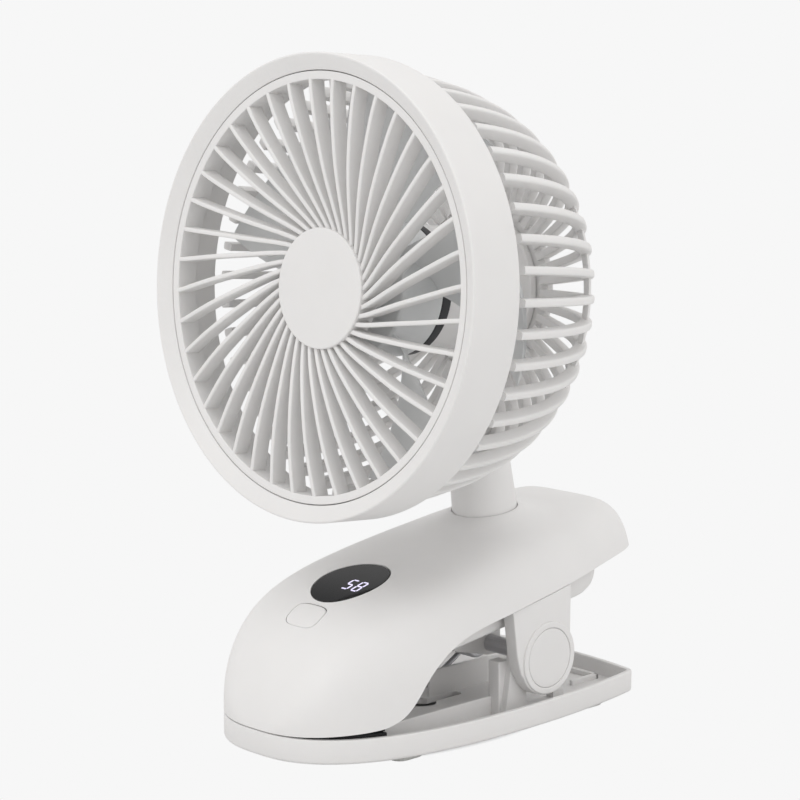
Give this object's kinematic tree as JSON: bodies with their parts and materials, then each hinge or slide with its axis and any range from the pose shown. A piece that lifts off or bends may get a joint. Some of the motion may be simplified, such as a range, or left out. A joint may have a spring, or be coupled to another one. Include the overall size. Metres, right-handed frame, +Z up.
{
  "type": "clip fan",
  "caption": "Small caged desk fan with a spiral front grille on a swivel and tilt neck, standing on a spring clip base with a domed upper jaw, a dark oval display and a push button.",
  "frame": {"origin": "on the table, under the middle of the fan's overall box", "axes": "+Z up from the table, -Y the way the fan blows at rest, +X to the right of someone who stands in front of the fan and faces it"},
  "size_m": [0.15, 0.1534, 0.2257],
  "materials": {
    "white_plastic": "fine satin moulded",
    "milky_plastic": "satin, slightly cloudy",
    "black_gloss": "polished",
    "dark_plastic": "satin",
    "dark_rubber": "matte",
    "pale_rubber": "matte",
    "circuit_board": "lacquered",
    "battery_wrap": "shrink film",
    "steel": "plain"
  },
  "bodies": {
    "base": {"base_plate": "white_plastic", "foot_front_left": "pale_rubber", "foot_front_right": "pale_rubber", "foot_rear_left": "pale_rubber", "foot_rear_right": "pale_rubber", "lower_pad": "dark_rubber", "pivot_axle": "steel", "torsion_spring": "steel"},
    "upper_jaw": {"upper_shell": "white_plastic", "jaw_housing": "white_plastic", "pivot_cap_right": "white_plastic", "pivot_cap_left": "white_plastic", "upper_pad": "dark_rubber", "housing_screw_1": "steel", "housing_screw_2": "steel", "housing_screw_3": "steel", "housing_screw_4": "steel", "display_window": "black_gloss", "digit_display": "dark_plastic", "display_board": "circuit_board", "button_switch": "dark_plastic", "button_board": "circuit_board", "battery_pack": "battery_wrap", "main_board": "circuit_board", "charging_socket": "steel"},
    "button": {"power_button": "white_plastic"},
    "neck": {"neck": "white_plastic", "neck_retainer": "white_plastic", "tilt_screw": "steel", "tilt_nut": "steel"},
    "head": {"front_ring": "white_plastic", "front_grille": "white_plastic", "rear_cage": "white_plastic", "motor_mount": "white_plastic", "motor_can": "dark_plastic"},
    "rotor": {"motor_shaft": "steel", "impeller": "milky_plastic", "impeller_nut": "white_plastic"}
  },
  "joints": [
    {"name": "clip_jaw", "type": "hinge", "parent": "base", "child": "upper_jaw", "pos_m": [0, 0.0218, 0.0227], "axis": [-1, 0, 0], "range_deg": [0, 30], "stiffness_Nm_per_rad": 1.2, "springref_deg": -20.05, "deforming": ["torsion_spring"]},
    {"name": "power_button", "type": "slide", "parent": "upper_jaw", "child": "button", "axis": [0, 0.5405, -0.8414], "range_m": [0, 0.0008], "stiffness_N_per_m": 1500},
    {"name": "neck_swivel", "type": "hinge", "parent": "upper_jaw", "child": "neck", "pos_m": [0, 0.029, 0.0676], "axis": [0, -0.1564, 0.9877], "range_deg": [-180, 180]},
    {"name": "head_tilt", "type": "hinge", "parent": "neck", "child": "head", "pos_m": [0, 0.02531, 0.09091], "axis": [-1, 0, 0], "range_deg": [-10, 45]},
    {"name": "impeller_spin", "type": "hinge", "parent": "head", "child": "rotor", "pos_m": [0, -0.0537, 0.151], "axis": [0, -0.9962, 0.0866], "continuous": true}
  ]
}
